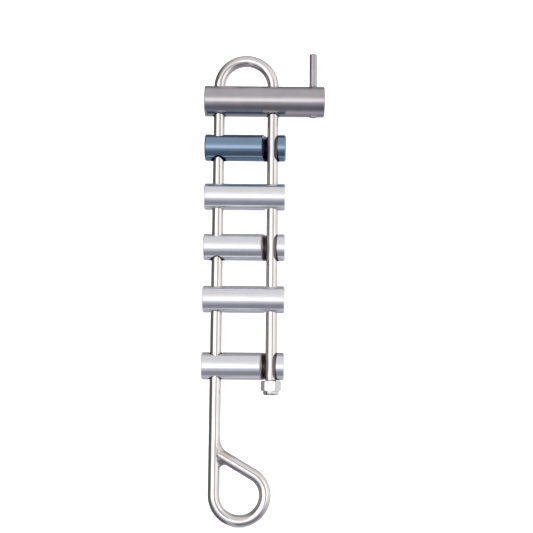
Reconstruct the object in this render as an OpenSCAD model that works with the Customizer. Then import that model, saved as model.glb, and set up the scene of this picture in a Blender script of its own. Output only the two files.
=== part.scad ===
// Six-bar rappel rack: a bent rod frame with an eye, a tubular top bar, five
// slotted brake bars and a lock nut. Millimetres. The origin is the centre of
// the eye, +Z runs up the legs and -Y is the front.

/* [Frame] */
// Diameter of the rod that the frame is bent from
rod_d = 9.525; // [8:0.025:10.5]
// Distance between the axes of the two legs
leg_spacing = 44.45; // [40:0.05:60]
// Centreline radius of the eye's main bend
eye_r = 20.2; // [16:0.1:26]
// Centreline radius of the tighter bend that turns the eye back to the long leg
eye_return_r = 18; // [12:0.1:26]
// Angle above level at which that bend ends and the straight limb starts
eye_return_angle = 60; // [45:1:70]
// Height of the lock nut's bearing face above the centre of the eye
nut_level = 89.4; // [75:0.1:140]

/* [Eye weld] */
// Reach of the fillet along the rod in the inner corner of the eye
fillet_inner = 6.3; // [2:0.1:8]
// Reach of the fillet along the rod in the outer corner, above the limb
fillet_outer = 6.4; // [2:0.1:9]
// Reach of the fillet on the front and the back of the limb
fillet_side = 1.6; // [1.2:0.1:2]
// Angle round the long leg that the weld's toe reaches, from the limb's side
fillet_wrap = 68; // [62:1:80]

/* [Top bar] */
// Outer diameter of the top bar's tube
top_bar_d = 25.4; // [22:0.1:32]
// Wall of the top bar's tube
top_bar_wall = 3; // [1.5:0.1:5]
// Length of the top bar past the long leg's axis
top_bar_overhang = 12.2; // [9:0.1:25]
// Diameter of the two leg holes in the top bar
top_bar_hole_d = 11.1; // [10.8:0.1:13]

/* [Tie-off pin] */
// Diameter of the tie-off pin
pin_d = 6.35; // [4:0.05:9]
// Height of the pin above the top bar
pin_height = 28.5; // [12:0.1:60]
// Distance of the pin's axis from the short leg's axis
pin_from_leg = 33.2; // [18:0.1:60]
// Length of the top bar past the pin's axis
pin_to_end = 9.2; // [7:0.1:25]
// Chamfer on the pin's free end
pin_chamfer = 0.8; // [0.2:0.1:1.5]
// Step from the pin down to its turned foot in the top bar
pin_step = 0.3; // [0.1:0.05:0.8]
// Depth of the weld spot under the top bar
pin_weld_depth = 1.1; // [0.5:0.1:2.5]
// Width of the weld spot past the side of the pin
pin_weld_toe = 1.6; // [0.8:0.1:3]

/* [Brake bars] */
// Diameter of a brake bar
bar_d = 22.225; // [20:0.025:27]
// Length of a brake bar past the long leg's axis
bar_overhang = 11.5; // [9:0.1:20]
// Length of a brake bar past the short leg's axis
bar_lip = 10.75; // [9:0.05:20]
// Chamfer on the bars' ends
bar_chamfer = 1.1; // [0.3:0.1:2.5]
// Diameter of the pivot hole
hole_d = 12.7; // [11.2:0.05:15]
// Width of the slot
slot_w = 12.7; // [11.2:0.05:15]
// Slant of the slot toward the pivot hole, as it opens
slot_slant = 12; // [0:0.5:14]

/* [Open space between neighbouring bars] */
// Between the top bar and the second bar
gap_1_2 = 15.7; // [3:0.1:60]
// Between the second and the third bar
gap_2_3 = 18.9; // [3:0.1:60]
// Between the third and the fourth bar
gap_3_4 = 19.4; // [3:0.1:60]
// Between the fourth and the fifth bar
gap_4_5 = 20.3; // [3:0.1:60]
// Between the fifth and the sixth bar
gap_5_6 = 31.3; // [3:0.1:60]

/* [Lock nut] */
// Width of the nut across its flats
nut_flats = 14.29; // [13:0.01:19]
// Height of the hexagonal part
nut_hex_h = 8.4; // [6:0.1:12]
// Height of the collar that holds the insert
nut_collar_h = 3.3; // [2.4:0.1:6]
// Turn of the nut from square to the front
nut_turn = 52.4; // [0:0.1:60]
// Outer diameter of the nylon insert
insert_d = 11.2; // [10.6:0.05:12]

/* [Fits] */
// Gap between a leg and the closed side of a pivot hole
pivot_clear = 0.14; // [0.05:0.01:0.5]
// Gap between a leg and the round end of a slot
seat_clear = 0.2; // [0.05:0.01:0.5]
// Gap between a leg and the slot's lip as the bar swings
swing_clear = 0.15; // [0.05:0.01:0.4]
// Gap between the lowest bar and the nut
nut_clear = 0.25; // [0.1:0.01:1]

/* [Hidden] */
$fn = 96;

rod_r = rod_d / 2;
bar_r = bar_d / 2;
long_x = -eye_r;
short_x = long_x + leg_spacing;

// Bar levels, built up from the nut
bar_6_z = nut_level + nut_clear + bar_r;
bar_5_z = bar_6_z + bar_d + gap_5_6;
bar_4_z = bar_5_z + bar_d + gap_4_5;
bar_3_z = bar_4_z + bar_d + gap_3_4;
bar_2_z = bar_3_z + bar_d + gap_2_3;
top_bar_z = bar_2_z + bar_r + gap_1_2 + top_bar_d / 2;

// The legs start to bend just below the crown of the top bar
bend_z = top_bar_z + top_bar_d / 2 - 0.4;
bend_r = leg_spacing / 2;

// Eye: the point where the return bend ends, and the limb's direction from there
return_x = eye_r - eye_return_r + eye_return_r * cos(eye_return_angle);
return_z = eye_return_r * sin(eye_return_angle);
limb_tilt = 90 - eye_return_angle;
// The limb is cut flat where it meets the side of the long leg
limb_cut = rod_r / 2;
limb_len = (return_x - long_x) / cos(limb_tilt);

// Threaded end of the short leg, at the thread's mean diameter
thread_r = rod_r - 0.5;
thread_chamfer = 0.8;
shoulder_round = 0.9;
nut_h = nut_hex_h + nut_collar_h;
thread_end_z = nut_level - nut_h + 0.4;
shoulder_z = nut_level + 0.05;

// Lock nut
nut_corner_r = nut_flats / 2 / cos(30);
nut_face_r = nut_flats / 2 - 0.1;
nut_out_r = nut_corner_r + 0.5;
nut_edge = (nut_out_r - nut_face_r) * tan(30);
collar_r = nut_flats / 2 - 0.75;
insert_h = nut_collar_h - 0.9;
insert_z = nut_level - nut_h + 0.5;

// Bars: the pivot hole and the slot leave the named gaps to the legs
hole_offset = (hole_d - rod_d) / 2 - pivot_clear;
slot_play = (slot_w - rod_d) / 2;
slot_side = slot_play - swing_clear - leg_spacing * (1 - cos(slot_slant));
slot_depth = sqrt(max(0, pow(slot_play - seat_clear, 2) - pow(slot_side, 2)));
top_bar_len = top_bar_overhang + leg_spacing + pin_from_leg + pin_to_end;
bar_len = bar_overhang + leg_spacing + bar_lip;
pin_x = short_x + pin_from_leg;
pin_foot_d = pin_d - 2 * pin_step;

// Weld: sections round the limb, and points on each section's hollow side
weld_rings = 36;
weld_arc = 6;
weld_root_r = rod_r - 0.15;

// One round rod along +Z
module rod(length) {
    cylinder(r = rod_r, h = length);
}

// Part of a bend in the XZ plane, from one angle to another about the origin
module bend(radius, from_angle, to_angle) {
    rotate([90, 0, 0])
        rotate([0, 0, from_angle])
            rotate_extrude(angle = to_angle - from_angle)
                translate([radius, 0])
                    circle(r = rod_r);
}

// Solid made by turning a profile of [radius, height] points about Z
module turned(profile) {
    rotate_extrude()
        polygon(profile);
}

module long_leg() {
    translate([long_x, 0, 0])
        rod(bend_z);
}

// Short leg with a rounded shoulder and a reduced, threaded end
module short_leg() {
    translate([short_x, 0, 0]) {
        translate([0, 0, shoulder_z + shoulder_round])
            rod(bend_z - shoulder_z - shoulder_round);
        translate([0, 0, shoulder_z])
            rotate_extrude()
                union() {
                    square([rod_r - shoulder_round, shoulder_round]);
                    intersection() {
                        translate([rod_r - shoulder_round, shoulder_round])
                            circle(r = shoulder_round);
                        square([rod_r, shoulder_round]);
                    }
                }
        turned([[0, thread_end_z], [thread_r - thread_chamfer, thread_end_z],
                [thread_r, thread_end_z + thread_chamfer], [thread_r, shoulder_z],
                [0, shoulder_z]]);
    }
}

// Straight limb that closes the eye against the side of the long leg
module eye_limb() {
    intersection() {
        translate([return_x, 0, return_z])
            rotate([0, limb_tilt - 90, 0])
                rod(limb_len);
        translate([long_x + limb_cut, -rod_d, 0])
            cube([leg_spacing + eye_r, 2 * rod_d, bend_z]);
    }
}

module frame() {
    color("silver") {
        long_leg();
        short_leg();
        translate([long_x + bend_r, 0, bend_z])
            bend(bend_r, 0, 180);
        bend(eye_r, 180, 360);
        translate([eye_r - eye_return_r, 0, 0])
            bend(eye_return_r, 0, eye_return_angle);
        eye_limb();
    }
}

// Reach of the fillet at an angle round the limb: outer corner at 0, inner at 180
function fillet_reach(a) =
    fillet_side + pow(cos(a), 2) * ((cos(a) > 0 ? fillet_outer : fillet_inner) - fillet_side);

// Point beside the limb's end, at a radius round the limb's axis
function limb_edge(a, r) =
    let (across = r * cos(a),
         reach = max(limb_cut, abs(across)),
         along = (return_x - long_x + across * sin(limb_tilt) - reach) / cos(limb_tilt))
    [long_x + reach, -r * sin(a),
     return_z + along * sin(limb_tilt) + across * cos(limb_tilt)];

// Toe of the fillet, just under the long leg's skin
function leg_toe(a) =
    let (past = fillet_side * abs(sin(a)) / rod_r * 180 / PI,
         turn = min(abs(asin(sin(a))) + past, fillet_wrap))
    [long_x + weld_root_r * cos(turn), -sign(sin(a)) * weld_root_r * sin(turn),
     limb_edge(a, rod_r)[2] + fillet_reach(a) * cos(a)];

// Toe of the fillet, just under the limb's skin
function limb_toe(a) =
    limb_edge(a, weld_root_r) + fillet_reach(a) * [cos(limb_tilt), 0, -sin(limb_tilt)];

// The fillet's curve runs toward this point: the corner, raised over the front and back
function weld_pull(a) = limb_edge(a, rod_r + 0.2 + 0.6 * pow(sin(a), 2));

// Weight that makes the curve a round arc between the leg and the limb
function weld_weight(a) = cos((45 - sign(cos(a)) * limb_tilt / 2) * cos(a));

// Point of a section: along the hollow side from toe to toe, then one point in the rod
function weld_point(a, j) =
    let (t = j / (weld_arc - 1), u = 1 - t, w = 2 * t * u * weld_weight(a))
    j == weld_arc ? limb_edge(a, rod_r - 1.8) - [0.9, 0, 0]
                  : (u * u * leg_toe(a) + w * weld_pull(a) + t * t * limb_toe(a))
                    / (u * u + w + t * t);

// Index of a corner in the weld's list of points; rings and corners wrap round
function weld_index(i, j) = (i % weld_rings) * (weld_arc + 1) + j % (weld_arc + 1);

module eye_weld() {
    points = [for (i = [0 : weld_rings - 1], j = [0 : weld_arc])
        weld_point((i + 0.5) * 360 / weld_rings, j)];
    faces = [for (i = [0 : weld_rings - 1], j = [0 : weld_arc], upper = [0, 1])
        upper ? [weld_index(i, j), weld_index(i + 1, j + 1), weld_index(i + 1, j)]
              : [weld_index(i, j), weld_index(i, j + 1), weld_index(i + 1, j + 1)]];
    color("gainsboro")
        difference() {
            polyhedron(points, faces);
            long_leg();
            eye_limb();
        }
}

// Round bar along +X with chamfered ends, starting at the origin
module bar_blank(d, length, chamfer) {
    rotate([0, 90, 0])
        turned([[0, 0], [d / 2 - chamfer, 0], [d / 2, chamfer], [d / 2, length - chamfer],
                [d / 2 - chamfer, length], [0, length]]);
}

module top_bar() {
    color("darkgray")
        translate([long_x, 0, top_bar_z])
            difference() {
                translate([-top_bar_overhang, 0, 0])
                    bar_blank(top_bar_d, top_bar_len, min(0.6, top_bar_wall / 3));
                translate([-top_bar_overhang - 1, 0, 0])
                    rotate([0, 90, 0])
                        cylinder(d = top_bar_d - 2 * top_bar_wall, h = top_bar_len + 2);
                for (x = [0, leg_spacing])
                    translate([x, 0, -top_bar_d])
                        cylinder(d = top_bar_hole_d, h = 2 * top_bar_d);
                translate([leg_spacing + pin_from_leg, 0, -top_bar_d])
                    cylinder(d = pin_foot_d, h = 2 * top_bar_d);
            }
}

// Tie-off pin: its turned foot goes through both walls, flush underneath
module tie_off_pin() {
    crown = top_bar_d / 2;
    top = crown + pin_height;
    color("silver")
        translate([pin_x, 0, top_bar_z])
            turned([[0, -crown], [pin_foot_d / 2, -crown], [pin_foot_d / 2, crown],
                    [pin_d / 2, crown + pin_step], [pin_d / 2, top - pin_chamfer],
                    [pin_d / 2 - pin_chamfer, top], [0, top]]);
}

// Weld spot that closes the pin's hole under the top bar
module pin_weld() {
    spot_r = pin_d / 2 + pin_weld_toe;
    drop = pin_weld_depth + top_bar_d / 2 - sqrt(pow(top_bar_d / 2, 2) - pow(spot_r, 2));
    dome_r = (spot_r * spot_r + drop * drop) / (2 * drop);
    color("gainsboro")
        translate([pin_x, 0, top_bar_z])
            difference() {
                translate([0, 0, -top_bar_d / 2 - pin_weld_depth])
                    intersection() {
                        translate([0, 0, dome_r])
                            sphere(r = dome_r);
                        cylinder(r = spot_r, h = drop);
                    }
                rotate([0, 90, 0])
                    translate([0, 0, -top_bar_d])
                        cylinder(d = top_bar_d, h = 2 * top_bar_d);
                translate([0, 0, -top_bar_d / 2])
                    cylinder(d = pin_foot_d, h = top_bar_d);
            }
}

// Slot cutter open toward -Y, with the short leg's axis at the origin
module slot_cut() {
    rotate([0, 0, -slot_slant])
        translate([-slot_side, -slot_depth, -bar_d]) {
            cylinder(d = slot_w, h = 2 * bar_d);
            translate([-slot_w / 2, -2 * bar_d, 0])
                cube([slot_w, 2 * bar_d, 2 * bar_d]);
        }
}

// Brake bar with its pivot hole on the long leg's axis and its slot open to -Y
module brake_bar() {
    difference() {
        translate([-bar_overhang, 0, 0])
            bar_blank(bar_d, bar_len, bar_chamfer);
        translate([0, -hole_offset, -bar_d])
            cylinder(d = hole_d, h = 2 * bar_d);
        translate([leg_spacing, 0, 0])
            slot_cut();
    }
}

// Slot to the front, at a level on the long leg
module front_bar(level) {
    translate([long_x, 0, level])
        brake_bar();
}

// The same bar turned over, with its slot to the back
module back_bar(level) {
    translate([long_x, 0, level])
        rotate([180, 0, 0])
            brake_bar();
}

module bar_2() {
    color("steelblue")
        front_bar(bar_2_z);
}

module bar_3() {
    color("lightgray")
        back_bar(bar_3_z);
}

module bar_4() {
    color("lightgray")
        front_bar(bar_4_z);
}

module bar_5() {
    color("lightgray")
        back_bar(bar_5_z);
}

module bar_6() {
    color("lightgray")
        front_bar(bar_6_z);
}

// Hexagon with both ends of its corners turned down
module nut_hex() {
    intersection() {
        rotate([0, 0, nut_turn])
            translate([0, 0, nut_collar_h])
                cylinder(r = nut_corner_r, h = nut_hex_h, $fn = 6);
        turned([[0, nut_collar_h], [nut_face_r, nut_collar_h],
                [nut_out_r, nut_collar_h + nut_edge], [nut_out_r, nut_h - nut_edge],
                [nut_face_r, nut_h], [0, nut_h]]);
    }
}

// Nut upside down on the leg: hexagon above, round collar below
module lock_nut() {
    lip = 0.5;
    color("whitesmoke")
        translate([short_x, 0, nut_level - nut_h])
            difference() {
                union() {
                    nut_hex();
                    turned([[0, 0], [collar_r - 1.2, 0], [collar_r - 0.35, 0.5], [collar_r, 1.3],
                            [collar_r, nut_collar_h + 1], [0, nut_collar_h + 1]]);
                }
                translate([0, 0, -1])
                    cylinder(r = thread_r, h = nut_h + 2);
                translate([0, 0, lip])
                    cylinder(d = insert_d, h = insert_h);
                translate([0, 0, -1])
                    cylinder(r = insert_d / 2 - 0.6, h = 1 + lip);
            }
}

module nylon_insert() {
    color("ivory")
        translate([short_x, 0, insert_z])
            difference() {
                cylinder(d = insert_d, h = insert_h);
                translate([0, 0, -1])
                    cylinder(r = thread_r, h = insert_h + 2);
            }
}

frame();
eye_weld();
top_bar();
tie_off_pin();
pin_weld();
bar_2();
bar_3();
bar_4();
bar_5();
bar_6();
lock_nut();
nylon_insert();
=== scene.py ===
import math

import bpy
from mathutils import Matrix, Vector


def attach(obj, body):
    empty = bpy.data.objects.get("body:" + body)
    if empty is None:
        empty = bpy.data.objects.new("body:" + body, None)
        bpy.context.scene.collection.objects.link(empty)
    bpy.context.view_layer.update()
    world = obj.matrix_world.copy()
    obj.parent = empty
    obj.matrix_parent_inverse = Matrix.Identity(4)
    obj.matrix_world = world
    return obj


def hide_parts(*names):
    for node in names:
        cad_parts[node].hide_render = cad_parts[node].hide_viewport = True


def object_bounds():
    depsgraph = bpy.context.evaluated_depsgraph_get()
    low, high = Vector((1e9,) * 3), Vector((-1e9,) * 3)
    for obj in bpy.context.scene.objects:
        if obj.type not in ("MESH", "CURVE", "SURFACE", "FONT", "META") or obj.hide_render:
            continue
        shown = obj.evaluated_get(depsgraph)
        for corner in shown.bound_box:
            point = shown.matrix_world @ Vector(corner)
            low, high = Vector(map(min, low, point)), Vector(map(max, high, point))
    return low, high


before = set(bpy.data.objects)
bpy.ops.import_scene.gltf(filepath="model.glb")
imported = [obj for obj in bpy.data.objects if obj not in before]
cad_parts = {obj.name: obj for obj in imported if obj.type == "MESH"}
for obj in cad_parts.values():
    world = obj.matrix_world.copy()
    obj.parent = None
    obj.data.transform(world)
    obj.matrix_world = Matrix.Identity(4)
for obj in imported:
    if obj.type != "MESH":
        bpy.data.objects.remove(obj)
cad_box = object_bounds()

# Camera: a short telephoto 0.73 m in front of the rack, level with the lock nut and
# tipped up a little, as the photograph was taken.
target = Vector((0.01992, 0, 0.18131))
distance, focal_length, film_width = 0.730, 60.73, 36
azimuth, elevation, roll = math.radians(-0.16), math.radians(-7.05), math.radians(0.51)
away = Vector((math.sin(azimuth) * math.cos(elevation), -math.cos(azimuth) * math.cos(elevation),
               math.sin(elevation)))
right = (-away).cross(Vector((0, 0, 1))).normalized()
up = right.cross(-away)
tilted_right = right * math.cos(roll) + up * math.sin(roll)
tilted_up = up * math.cos(roll) - right * math.sin(roll)
camera_data = bpy.data.cameras.new("camera")
camera_data.sensor_width = film_width
camera_data.lens = focal_length
camera_data.clip_start = 0.01
camera = bpy.data.objects.new("camera", camera_data)
camera.matrix_world = Matrix((
    (tilted_right.x, tilted_up.x, away.x, target.x + away.x * distance),
    (tilted_right.y, tilted_up.y, away.y, target.y + away.y * distance),
    (tilted_right.z, tilted_up.z, away.z, target.z + away.z * distance),
    (0, 0, 0, 1)))
bpy.context.scene.collection.objects.link(camera)
bpy.context.scene.camera = camera
bpy.context.scene.view_settings.view_transform = "Standard"


# Studio: a white room for the eye of the camera. Metal sees a grey ceiling, a dark side on
# the left, a bright side on the right and a floor that darkens and brightens in bands.
def add(tree, kind, settings=None, **inputs):
    """One shader node; an input is a plain value or another node's output socket."""
    node = tree.nodes.new("ShaderNode" + kind)
    for key, value in (settings or {}).items():
        setattr(node, key, value)
    for key, value in inputs.items():
        numbered = key[1:].isdigit()
        socket = node.inputs[int(key[1:]) if numbered else key.replace("_", " ")]
        if isinstance(value, bpy.types.NodeSocket):
            tree.links.new(value, socket)
        else:
            socket.default_value = value
    return node


def calc(tree, operation, *values):
    """A Math node's output for up to three values or sockets."""
    inputs = {"i%d" % i: value for i, value in enumerate(values)}
    return add(tree, "Math", {"operation": operation}, **inputs).outputs[0]


def product(tree, first, *others):
    """Product of two or more values or sockets."""
    for other in others:
        first = calc(tree, "MULTIPLY", first, other)
    return first


def blend_levels(tree, share, low, high):
    """Level that goes from low to high with a share from 0 to 1; all three may be sockets."""
    return add(tree, "Mix", {"data_type": "FLOAT"}, i0=share, i2=low, i3=high).outputs[0]


def fade(tree, value, low, high):
    """Share that rises softly from 0 to 1 as a value goes from low to high."""
    return add(tree, "MapRange", {"interpolation_type": "SMOOTHSTEP"}, Value=value, From_Min=low,
               From_Max=high).outputs["Result"]


def steps(tree, value, stops):
    """Grey level read from stops of (value, level), with values from 0 to 1."""
    ramp = add(tree, "ValToRGB", i0=value)
    marks = ramp.color_ramp.elements
    while len(marks) < len(stops):
        marks.new(0.5)
    for mark, (place, level) in zip(marks, stops):
        mark.position = place
        mark.color = (level, level, level, 1)
    return ramp.outputs[0]


world = bpy.data.worlds.new("studio")
bpy.context.scene.world = world
world.use_nodes = True
sky = world.node_tree
sky.nodes.clear()
heading = add(sky, "SeparateXYZ", i0=add(sky, "TexCoord").outputs["Generated"])
rise, across = heading.outputs["Z"], heading.outputs["X"]
ahead = calc(sky, "MULTIPLY", heading.outputs["Y"], -1.0)
straight_ahead = calc(sky, "MULTIPLY", calc(sky, "ARCCOSINE", ahead), 1 / math.pi)
brightest = 1.8


def outward(*stops):
    """Level by the angle away from straight ahead, from 0 to 180 degrees."""
    marks = [(degrees / 180, level / brightest) for degrees, level in stops]
    return calc(sky, "MULTIPLY", steps(sky, straight_ahead, marks), brightest)


def clock_share(*stops):
    """Share by the clock angle round straight ahead, in degrees: 0 is right and 90 is up."""
    place = calc(sky, "MULTIPLY_ADD", calc(sky, "ARCTAN2", rise, across), 0.5 / math.pi, 0.5)
    return steps(sky, place, [((degrees + 180) / 360, share) for degrees, share in stops])


ceiling = outward((0, 0.84), (40, 0.79), (76, 0.79), (90, 0.66), (104, 0.44), (116, 0.28),
                  (140, 0.28), (156, 0.6), (180, 0.8))
ground = outward((0, 0.6), (28, 0.56), (38, 0.37), (48, 0.25), (58, 0.21), (76, 0.22), (87, 0.40),
                 (98, 0.60), (110, 0.62), (125, 0.40), (140, 0.36), (160, 0.7), (180, 0.8))
dark_side = outward((0, 0.9), (30, 0.9), (44, 0.56), (56, 0.30), (68, 0.15), (110, 0.13),
                    (132, 0.24), (150, 0.7), (180, 0.8))
bright_side = outward((0, 1.2), (56, 1.2), (72, 1.05), (84, 0.92), (96, 0.84), (125, 0.84),
                      (150, 0.8), (180, 0.8))
ceiling_share = clock_share((-180, 0), (30, 0), (75, 1), (95, 1), (125, 0.15), (140, 0), (180, 0))
dark_share = clock_share((-180, 1), (-116, 1), (-95, 0), (95, 0), (125, 0.85), (140, 1), (180, 1))
ground_share = clock_share((-180, 0), (-116, 0), (-95, 1), (-52, 1), (-5, 0), (180, 0))
room_level = bright_side
for share, level in ((ceiling_share, ceiling), (dark_share, dark_side), (ground_share, ground)):
    room_level = blend_levels(sky, share, room_level, level)

# Window: a bright low panel in front, weaker on its right. A dull block covers the middle of
# its upper half, and a dim stand, almost upright, covers a strip right of the middle.
bearing = calc(sky, "ARCTAN2", across, ahead)
panel_top, panel_foot = (0.45, 0.37), (-0.42, -0.12)
panel_left, panel_right = (-1.04, -0.74), (1.40, 0.90)
panel_level, weaker_from, weaker_to, weaker_by = 1.75, 0.2, 1.0, 0.5
block_rise, block_side, block_loss = (-0.04, 0.34), (0.28, 0.2), 0.47
stand_bearing, stand_lean, stand_loss = 0.34, 0.15, 0.68
stand_side, stand_foot = (0.28, 0.16), (-0.45, -0.15)
panel = product(sky, fade(sky, rise, *panel_top), fade(sky, rise, *panel_foot),
                fade(sky, bearing, *panel_left), fade(sky, bearing, *panel_right))
block = product(sky, fade(sky, rise, *block_rise),
                fade(sky, calc(sky, "ABSOLUTE", bearing), *block_side))
stand_middle = calc(sky, "MULTIPLY_ADD", rise, stand_lean, stand_bearing)
off_stand = calc(sky, "ABSOLUTE", calc(sky, "SUBTRACT", bearing, stand_middle))
stand = product(sky, fade(sky, off_stand, *stand_side), fade(sky, rise, *stand_foot))
glow_level = product(
    sky, calc(sky, "MULTIPLY_ADD", fade(sky, bearing, weaker_from, weaker_to), -weaker_by, panel_level),
    calc(sky, "MULTIPLY_ADD", block, -block_loss, 1.0), calc(sky, "MULTIPLY_ADD", stand, -stand_loss, 1.0))
studio = blend_levels(sky, panel, room_level, glow_level)

# Light: what metal sees is a hair warmer than white, and a little bluer low down. The camera
# itself sees plain white round the rack.
green_share, bluer_by, bluer_from, bluer_to = 0.99, 0.12, -0.2, -0.5
blue_share = calc(sky, "MULTIPLY_ADD", fade(sky, rise, bluer_from, bluer_to), bluer_by, 1.0)
tint = add(sky, "CombineColor", Red=studio, Green=calc(sky, "MULTIPLY", studio, green_share),
           Blue=calc(sky, "MULTIPLY", studio, blue_share))
room = add(sky, "Background", Color=tint.outputs[0], Strength=1.0)
white = add(sky, "Background", Color=(1, 1, 1, 1), Strength=1.0)
seen_by_camera = add(sky, "LightPath").outputs["Is Camera Ray"]
shown = add(sky, "MixShader", i0=seen_by_camera, i1=room.outputs[0], i2=white.outputs[0])
add(sky, "OutputWorld", Surface=shown.outputs[0])

# Floor: a white paper sheet that curves up behind the rack. It glows just enough to stay
# white and keeps the soft shadow; metal sees the studio's panels through it.
half_width, front, back, top, bend, bend_steps = 3.0, -2.5, 1.6, 2.6, 0.6, 12
paper_level = cad_box[0].z - 0.0002
paper_white, paper_glow = 0.9, 0.62
profile = [(front, 0.0), (back - bend, 0.0)]
for i in range(1, bend_steps + 1):
    turn = i / bend_steps * math.pi / 2
    profile.append((back - bend + bend * math.sin(turn), bend - bend * math.cos(turn)))
profile.append((back, top))
points = [(x, y, paper_level + z) for x in (-half_width, half_width) for y, z in profile]
faces = [(i, i + 1, len(profile) + i + 1, len(profile) + i) for i in range(len(profile) - 1)]
floor_mesh = bpy.data.meshes.new("floor")
floor_mesh.from_pydata(points, [], faces)
for face in floor_mesh.polygons:
    face.use_smooth = True
floor = bpy.data.objects.new("floor", floor_mesh)
bpy.context.scene.collection.objects.link(floor)
floor.visible_glossy = False
paper = bpy.data.materials.new("white_paper")
paper.use_nodes = True
paper.node_tree.nodes.clear()
matt = add(paper.node_tree, "BsdfDiffuse", Color=(paper_white, paper_white, paper_white, 1))
glow = add(paper.node_tree, "Emission", Color=(1, 1, 1, 1), Strength=paper_glow)
both = add(paper.node_tree, "AddShader", i0=matt.outputs[0], i1=glow.outputs[0])
add(paper.node_tree, "OutputMaterial", Surface=both.outputs[0])
floor_mesh.materials.append(paper)

# Lamp: one wide soft lamp high on the left, for the shadow and the dull parts. Metal
# doesn't mirror it, because the panels already stand there.
lamp_data = bpy.data.lights.new("soft_lamp", "AREA")
lamp_data.shape = "RECTANGLE"
lamp_data.size, lamp_data.size_y = 0.9, 0.7
lamp_data.energy = 6.0
lamp = bpy.data.objects.new("soft_lamp", lamp_data)
lamp.location = (-0.5, -0.6, 1.1)
lamp_aim = Vector((0, 0, 0.15))
lamp.rotation_euler = (lamp_aim - lamp.location).to_track_quat("-Z", "Y").to_euler()
lamp.visible_glossy = False
bpy.context.scene.collection.objects.link(lamp)


# Fine marks: the grain that polishing, grinding and turning leave. It can be drawn out along
# one direction, and every finish below takes it with its own size and stretch.
def group(name, inputs, outputs):
    """Empty shader group with its sockets, and its input and output nodes."""
    tree = bpy.data.node_groups.new(name, "ShaderNodeTree")
    for key, kind, value in inputs:
        socket = tree.interface.new_socket(key, in_out="INPUT", socket_type="NodeSocket" + kind)
        if value is not None:
            socket.default_value = value
    for key, kind in outputs:
        tree.interface.new_socket(key, in_out="OUTPUT", socket_type="NodeSocket" + kind)
    return tree, tree.nodes.new("NodeGroupInput"), tree.nodes.new("NodeGroupOutput")


def reach(tree, value, low, high):
    """Share that rises evenly from 0 to 1 as a value goes from low to high."""
    return add(tree, "MapRange", Value=value, From_Min=low, From_Max=high).outputs["Result"]


grain, start, end = group("drawn_grain", (("Vector", "Vector", None), ("Stretch", "Vector", (1, 1, 1)),
                                          ("Size", "Float", 1.0)),
                          (("Height", "Float"), ("Patches", "Float")))
stretched = add(grain, "VectorMath", {"operation": "MULTIPLY"}, i0=start.outputs["Vector"],
                i1=start.outputs["Stretch"]).outputs[0]
fine = add(grain, "TexNoise", Vector=stretched, Detail=3.0, Roughness=0.6,
           Scale=calc(grain, "DIVIDE", 1.0, start.outputs["Size"]))
coarse = add(grain, "TexNoise", Vector=start.outputs["Vector"], Scale=70.0, Detail=4.0, Roughness=0.55)
grain.links.new(fine.outputs[0], end.inputs["Height"])
grain.links.new(reach(grain, coarse.outputs[0], 0.3, 0.7), end.inputs["Patches"])


def surface(name, metallic=1.0):
    """New material with its tree, its Principled shader and the place on the piece, in metres."""
    material = bpy.data.materials.new(name)
    material.use_nodes = True
    tree = material.node_tree
    shader = tree.nodes["Principled BSDF"]
    shader.inputs["Metallic"].default_value = metallic
    return material, tree, shader, add(tree, "TexCoord").outputs["Object"]


def fine_marks(tree, place, stretch, size):
    """Height and patches of the drawn grain, set into a material."""
    node = tree.nodes.new("ShaderNodeGroup")
    node.node_tree = grain
    tree.links.new(place, node.inputs["Vector"])
    node.inputs["Stretch"].default_value = stretch
    node.inputs["Size"].default_value = size
    return node.outputs["Height"], node.outputs["Patches"]


def between(tree, share, low, high):
    """Value that goes from low to high with a share from 0 to 1."""
    return add(tree, "MapRange", Value=share, To_Min=low, To_Max=high).outputs["Result"]


def tones(tree, share, low, high):
    """Colour that goes from low to high with a share from 0 to 1."""
    ramp = add(tree, "ValToRGB", i0=share)
    for mark, colour in zip(ramp.color_ramp.elements, (low, high)):
        mark.color = (*colour, 1)
    return ramp.outputs[0]


def emboss(tree, shader, height, depth):
    """Bump with a depth in metres that feeds the shader's normal."""
    bump = add(tree, "Bump", Height=height, Distance=depth, Strength=1.0)
    tree.links.new(bump.outputs[0], shader.inputs["Normal"])


def finish_node(name, material):
    """Gives a carried-over CAD node its finish."""
    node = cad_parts[name]
    node.data.materials.clear()
    node.data.materials.append(material)


# Frame: one stainless rod of 9.5 mm, bent cold and polished, with the eye at its foot.
# Polishing leaves hairline scratches, and the weld's heat leaves a rosy tint round it.
rod_finish, tree, shader, place = surface("polished_rod")
scratches, patches = fine_marks(tree, place, stretch=(1, 1, 0.12), size=0.0006)
clean_tone = tones(tree, patches, (0.70, 0.675, 0.66), (0.76, 0.74, 0.73))
weld_place, tint_edge, tint_core = (-0.0115, 0, 0.0345), 0.0135, 0.0045
from_weld = add(tree, "VectorMath", {"operation": "DISTANCE"}, i0=place, i1=weld_place).outputs["Value"]
heated = fade(tree, from_weld, tint_edge, tint_core)
speckle = add(tree, "TexNoise", Vector=place, Scale=900.0, Detail=3.0, Roughness=0.6).outputs[0]
heat_tone = tones(tree, reach(tree, speckle, 0.35, 0.65), (0.55, 0.475, 0.455), (0.69, 0.635, 0.615))
rod_tone = add(tree, "Mix", {"data_type": "RGBA"}, i0=heated, i6=clean_tone, i7=heat_tone)
tree.links.new(rod_tone.outputs[2], shader.inputs["Base Color"])
polished, scaled = between(tree, patches, 0.04, 0.08), 0.14
tree.links.new(blend_levels(tree, heated, polished, scaled), shader.inputs["Roughness"])
emboss(tree, shader, scratches, depth=0.000002)
finish_node("frame", rod_finish)

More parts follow.
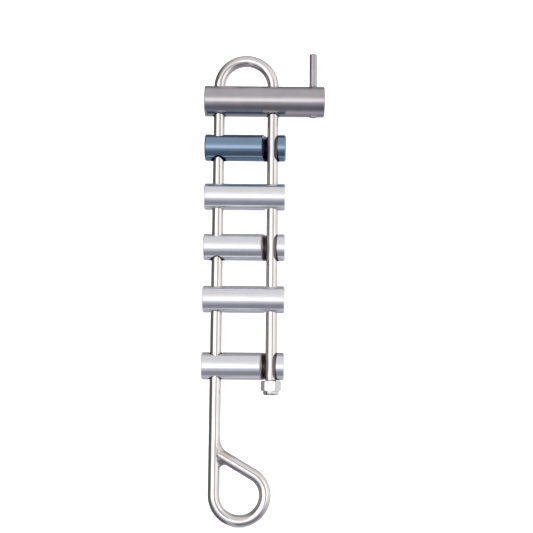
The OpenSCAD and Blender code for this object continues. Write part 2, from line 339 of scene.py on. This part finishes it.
# Eye weld: the bead that closes the eye, run round the limb's end and brushed to a hollow
# fillet between the two rods. Its rim lies just under their skins. Sizes are in millimetres.
MM = 0.001
rod_radius, long_axis_x = 4.7625, -20.2
limb_start, limb_slope, limb_cut = Vector((11.2, 0, 15.588)), math.radians(30), 2.38
reach_outer, reach_inner, reach_side, furthest_wrap = 6.4, 6.3, 1.6, math.radians(68)
toe_sink, throat, side_throat = 0.06, 0.15, 0.6
core_sink, core_shift = 1.8, Vector((0.9, 0, 0))
turns, arc_points = 144, 21


def limb_rim(turn, radius):
    """Point of the limb's end beside the leg, at a radius round the limb's axis."""
    sideways = radius * math.cos(turn)
    gap = max(limb_cut, abs(sideways))
    along = (limb_start.x - long_axis_x + sideways * math.sin(limb_slope) - gap) / math.cos(limb_slope)
    return Vector((long_axis_x + gap, -radius * math.sin(turn),
                   limb_start.z + along * math.sin(limb_slope) + sideways * math.cos(limb_slope)))


def lump(turn):
    """Unevenness that the brushing leaves round the weld."""
    return 0.09 * math.sin(5 * turn + 0.7) + 0.07 * math.sin(11 * turn + 2.1)


def fillet_section(turn):
    """Points of the hollow side from the leg to the limb, and one inside the rods."""
    outer = math.cos(turn) > 0
    spread = reach_side + math.cos(turn) ** 2 * ((reach_outer if outer else reach_inner) - reach_side)
    root = rod_radius - toe_sink
    wrap = abs(math.asin(math.sin(turn))) + reach_side * abs(math.sin(turn)) / rod_radius
    wrap = min(wrap, furthest_wrap)
    leg_toe = Vector((long_axis_x + root * math.cos(wrap),
                      -math.copysign(root * math.sin(wrap), math.sin(turn)),
                      limb_rim(turn, rod_radius).z + spread * math.cos(turn)))
    limb_toe = limb_rim(turn, root) + spread * Vector((math.cos(limb_slope), 0, -math.sin(limb_slope)))
    pull = limb_rim(turn, rod_radius + throat + side_throat * math.sin(turn) ** 2 + lump(turn))
    weight = math.cos((math.pi / 4 - math.copysign(limb_slope / 2, math.cos(turn))) * math.cos(turn))
    section = []
    for step in range(arc_points):
        share = step / (arc_points - 1)
        leg_part, limb_part = (1 - share) ** 2, share ** 2
        middle = 2 * share * (1 - share) * weight
        section.append((leg_toe * leg_part + pull * middle + limb_toe * limb_part)
                       / (leg_part + middle + limb_part))
    section.append(limb_rim(turn, rod_radius - core_sink) - core_shift)
    return section


fillet_points = []
for i in range(turns):
    fillet_points += [point * MM for point in fillet_section((i + 0.5) / turns * math.tau)]
ring = arc_points + 1
fillet_faces = [(i * ring + j, i * ring + (j + 1) % ring,
                 (i + 1) % turns * ring + (j + 1) % ring, (i + 1) % turns * ring + j)
                for i in range(turns) for j in range(ring)]
fillet_mesh = bpy.data.meshes.new("eye_fillet")
fillet_mesh.from_pydata(fillet_points, [], fillet_faces)
fillet_mesh.polygons.foreach_set("use_smooth", [True] * len(fillet_faces))
fillet_mesh.set_sharp_from_angle(angle=math.radians(50))
fillet = bpy.data.objects.new("eye_fillet", fillet_mesh)
bpy.context.scene.collection.objects.link(fillet)
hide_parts("eye_weld")
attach(fillet, "frame")
weld_finish, tree, shader, place = surface("brushed_weld")
scratches, patches = fine_marks(tree, place, stretch=(1, 1, 1), size=0.0011)
tree.links.new(tones(tree, patches, (0.50, 0.455, 0.43), (0.68, 0.65, 0.64)), shader.inputs["Base Color"])
tree.links.new(between(tree, patches, 0.14, 0.26), shader.inputs["Roughness"])
emboss(tree, shader, scratches, depth=0.00004)
fillet_mesh.materials.append(weld_finish)

# Top bar: stainless tube of 25 mm, ground along its length to a dull grey. The spot under
# its right end is the weld that holds the pin, brushed like the weld of the eye.
tube_finish, tree, shader, place = surface("ground_tube")
scratches, patches = fine_marks(tree, place, stretch=(0.06, 1, 1), size=0.0005)
tree.links.new(tones(tree, patches, (0.45, 0.43, 0.445), (0.50, 0.48, 0.495)), shader.inputs["Base Color"])
tree.links.new(between(tree, patches, 0.12, 0.18), shader.inputs["Roughness"])
emboss(tree, shader, scratches, depth=0.000008)
shader.inputs["Anisotropic"].default_value = 0.6
round_axis = add(tree, "Tangent", {"direction_type": "RADIAL", "axis": "X"}).outputs[0]
tree.links.new(round_axis, shader.inputs["Tangent"])
finish_node("top_bar", tube_finish)
finish_node("pin_weld", weld_finish)

# Tie-off pin: stainless rod of 6.35 mm with a satin finish, pressed through both walls of
# the top bar. Its upper end stands free.
pin_finish, tree, shader, place = surface("satin_pin")
scratches, patches = fine_marks(tree, place, stretch=(1, 1, 0.15), size=0.0004)
tree.links.new(tones(tree, patches, (0.44, 0.42, 0.445), (0.52, 0.50, 0.52)), shader.inputs["Base Color"])
tree.links.new(between(tree, patches, 0.32, 0.40), shader.inputs["Roughness"])
emboss(tree, shader, scratches, depth=0.000008)
finish_node("tie_off_pin", pin_finish)


# Brake bars: aluminium of 22 mm turned on a lathe, which leaves fine rings, then drilled
# and slotted. The cuts stay dull inside and are painted darker as shade, and the bevels at
# both ends are matt and pale.
def bar_finish(name, tone_low, tone_high, cut_shade_tone, rough_low, rough_high):
    """Turned bar's material and shader. Places are shares of its box, from the middle."""
    below_skin, short_of_end = (0.494, 0.486), (0.482, 0.478)
    bevel_start, end_face = (0.484, 0.488), (0.4998, 0.4995)
    cut_rough, end_rough, bevel_metallic = 0.5, 0.6, 0.45
    material, tree, shader, place = surface(name)
    inside = add(tree, "SeparateXYZ", i0=add(tree, "TexCoord").outputs["Generated"])
    deep = calc(tree, "SUBTRACT", inside.outputs["Y"], 0.5)
    tall = calc(tree, "SUBTRACT", inside.outputs["Z"], 0.5)
    from_axis = calc(tree, "SQRT", calc(tree, "ADD", product(tree, deep, deep), product(tree, tall, tall)))
    from_middle = calc(tree, "ABSOLUTE", calc(tree, "SUBTRACT", inside.outputs["X"], 0.5))
    cut = product(tree, fade(tree, from_axis, *below_skin), reach(tree, from_middle, *short_of_end))
    at_end = reach(tree, from_middle, *bevel_start)
    bevel = product(tree, at_end, reach(tree, from_middle, *end_face))
    rings, patches = fine_marks(tree, place, stretch=(1, 0.02, 0.02), size=0.00035)
    skin_tone = tones(tree, patches, tone_low, tone_high)
    # Slots and holes: a darker tone painted in as shade, over the dull cut finish.
    mixed = add(tree, "Mix", {"data_type": "RGBA"}, i0=cut, i6=skin_tone, i7=(*cut_shade_tone, 1))
    tree.links.new(mixed.outputs[2], shader.inputs["Base Color"])
    rough = blend_levels(tree, at_end, between(tree, patches, rough_low, rough_high), end_rough)
    tree.links.new(blend_levels(tree, cut, rough, cut_rough), shader.inputs["Roughness"])
    tree.links.new(between(tree, bevel, 1.0, bevel_metallic), shader.inputs["Metallic"])
    emboss(tree, shader, rings, depth=0.000003)
    shader.inputs["Anisotropic"].default_value = 0.85
    shader.inputs["Anisotropic Rotation"].default_value = 0.25
    round_axis = add(tree, "Tangent", {"direction_type": "RADIAL", "axis": "X"}).outputs[0]
    tree.links.new(round_axis, shader.inputs["Tangent"])
    return material, shader


# The third colour is the grey shade painted into the slots and holes.
plain_finish, _ = bar_finish("turned_aluminium", (0.82, 0.825, 0.865), (0.88, 0.885, 0.915),
                             (0.60, 0.575, 0.575), 0.22, 0.26)
for name in ("bar_3", "bar_4", "bar_5", "bar_6"):
    finish_node(name, plain_finish)

# Blue bar: the same bar, dyed blue by anodising. The clear hard skin over the dye mirrors
# white light, so its highlight is paler than the rest.
# The third colour is the dark purple shade painted into the slots and holes.
blue_finish, blue_shader = bar_finish("blue_anodised", (0.02, 0.13, 0.26), (0.035, 0.16, 0.315),
                                      (0.13, 0.115, 0.23), 0.18, 0.22)
blue_shader.inputs["Coat Weight"].default_value = 1.0
blue_shader.inputs["Coat IOR"].default_value = 2.6
blue_shader.inputs["Coat Roughness"].default_value = 0.08
finish_node("bar_2", blue_finish)

# Lock nut: bright stainless hexagon, milled, with its edges just broken, turned onto the
# thread of the short leg with its collar down.
nut_finish, tree, shader, place = surface("bright_nut")
scratches, patches = fine_marks(tree, place, stretch=(1, 1, 0.3), size=0.0005)
tree.links.new(tones(tree, patches, (0.74, 0.735, 0.73), (0.80, 0.79, 0.785)), shader.inputs["Base Color"])
tree.links.new(between(tree, patches, 0.08, 0.14), shader.inputs["Roughness"])
emboss(tree, shader, scratches, depth=0.00001)
finish_node("lock_nut", nut_finish)
seam_gap, edge_break, edge_angle = 0.000004, 0.00015, math.radians(30)
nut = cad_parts["lock_nut"]
joined = nut.modifiers.new("join_faces", "WELD")
joined.merge_threshold = seam_gap
edges = nut.modifiers.new("deburr", "BEVEL")
edges.width = edge_break
edges.segments = 3
edges.limit_method = "ANGLE"
edges.angle_limit = edge_angle
edges.harden_normals = True

# Nylon ring: moulded natural nylon, held in the nut's collar, where it grips the thread.
# It is dull and a little uneven in colour.
ring_finish, tree, shader, place = surface("nylon_ring", metallic=0.0)
_, patches = fine_marks(tree, place, stretch=(1, 1, 1), size=0.0008)
tree.links.new(tones(tree, patches, (0.78, 0.76, 0.68), (0.86, 0.85, 0.79)), shader.inputs["Base Color"])
tree.links.new(between(tree, patches, 0.4, 0.5), shader.inputs["Roughness"])
finish_node("nylon_insert", ring_finish)
